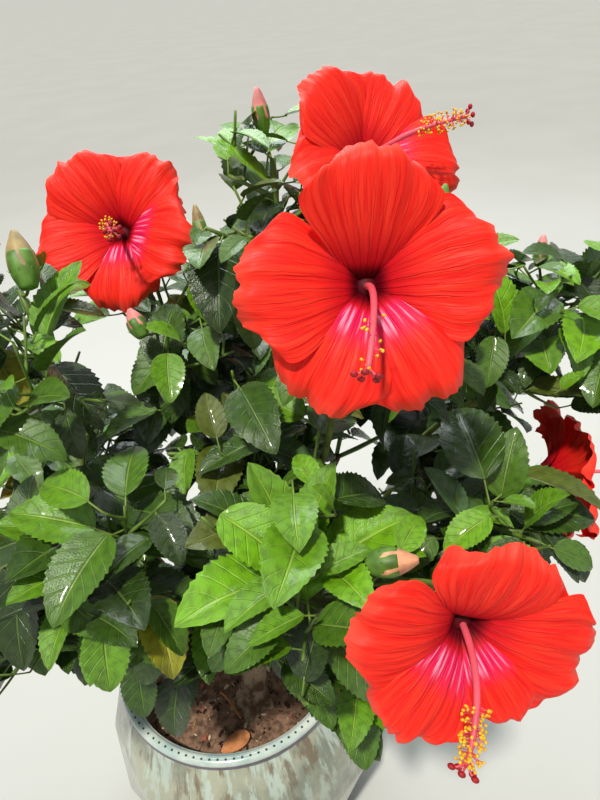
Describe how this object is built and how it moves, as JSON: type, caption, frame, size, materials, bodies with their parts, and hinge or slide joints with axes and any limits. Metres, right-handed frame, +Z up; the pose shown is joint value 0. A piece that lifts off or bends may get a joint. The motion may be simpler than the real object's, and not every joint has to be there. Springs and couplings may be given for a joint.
{
  "type": "potted hibiscus shrub",
  "caption": "Red-flowered hibiscus shrub: short leaning trunk, spreading boughs, leafy masses and wide open blooms, in a round pot of flat glazed facets.",
  "frame": {"origin": "middle of the pot's flat underside", "axes": "+Z up along the pot's axis, -Y towards the side the picture was taken from, +X to that view's right"},
  "size_m": [0.8089, 0.7061, 1.0303],
  "materials": {
    "pot_glaze": "glossy glaze",
    "soil": "rough",
    "bark": "rough",
    "foliage": "satin",
    "petals": "satin"
  },
  "bodies": {
    "root": {"pot": "pot_glaze", "soil": "soil", "trunk": "bark", "bough_left": "bark", "bough_front": "bark", "bough_centre": "bark", "bough_right": "bark", "bough_back": "bark", "bough_back_left": "bark", "bough_back_right": "bark", "bough_left_high": "bark", "bough_front_high": "bark", "bough_top": "bark", "bough_bloom": "bark", "bough_right_high": "bark", "bough_back_high": "bark", "mass_left_low": "foliage", "mass_left_high": "foliage", "mass_left_front": "foliage", "mass_left_middle": "foliage", "mass_low_front_left": "foliage", "mass_low_front_right": "foliage", "mass_centre_front": "foliage", "mass_centre": "foliage", "mass_behind_bloom": "foliage", "mass_top": "foliage", "mass_right_high": "foliage", "mass_right_low": "foliage", "mass_right_under": "foliage", "mass_back": "foliage", "mass_back_left": "foliage", "mass_left_under": "foliage", "mass_back_right": "foliage", "mass_right_back": "foliage", "bloom_front": "petals", "bloom_top": "petals", "bloom_left": "petals", "bloom_low_right": "petals", "bloom_right": "petals", "bloom_back": "petals", "bloom_back_left": "petals"}
  },
  "joints": []
}
